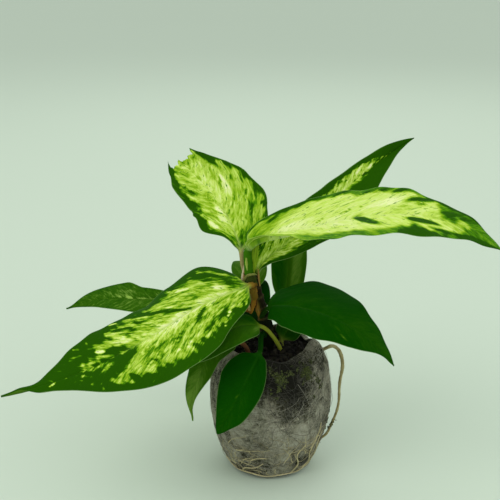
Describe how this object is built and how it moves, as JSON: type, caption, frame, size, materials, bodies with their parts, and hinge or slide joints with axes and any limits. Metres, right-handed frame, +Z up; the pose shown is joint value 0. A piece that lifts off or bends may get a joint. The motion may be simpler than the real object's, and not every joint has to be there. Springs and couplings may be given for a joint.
{
  "type": "potted dieffenbachia plant",
  "caption": "Young dieffenbachia with broad cream-variegated upper leaves and plain green lower ones, rooted in a soft fleece-wrapped grow plug.",
  "frame": {"origin": "centre of the plug's flat underside, on the surface it stands on", "axes": "+Z up, +X to the right and +Y away from the viewer as the plant is seen in the picture"},
  "size_m": [0.1985, 0.1009, 0.1429],
  "materials": {
    "fleece": "matte",
    "potting_mix": "matte",
    "stem": "satin",
    "leaf_variegated": "satin",
    "leaf_green": "satin",
    "root": "matte"
  },
  "bodies": {
    "root": {"fleece_wrap": "fleece", "soil_plug": "potting_mix", "main_stem": "stem", "leaf_crown_left": "leaf_variegated", "leaf_crown_right": "leaf_variegated", "leaf_crown_back": "leaf_variegated", "leaf_large_left": "leaf_variegated", "leaf_back_left": "leaf_green", "leaf_low_right": "leaf_green", "leaf_low_front": "leaf_green", "leaf_low_left": "leaf_green", "leaf_low_far_left": "leaf_green", "leaf_back_right": "leaf_green", "leaf_back_small": "leaf_green", "leaf_low_under": "leaf_green", "leaf_back_low": "leaf_green", "aerial_root": "root", "foot_roots": "root"}
  },
  "joints": []
}
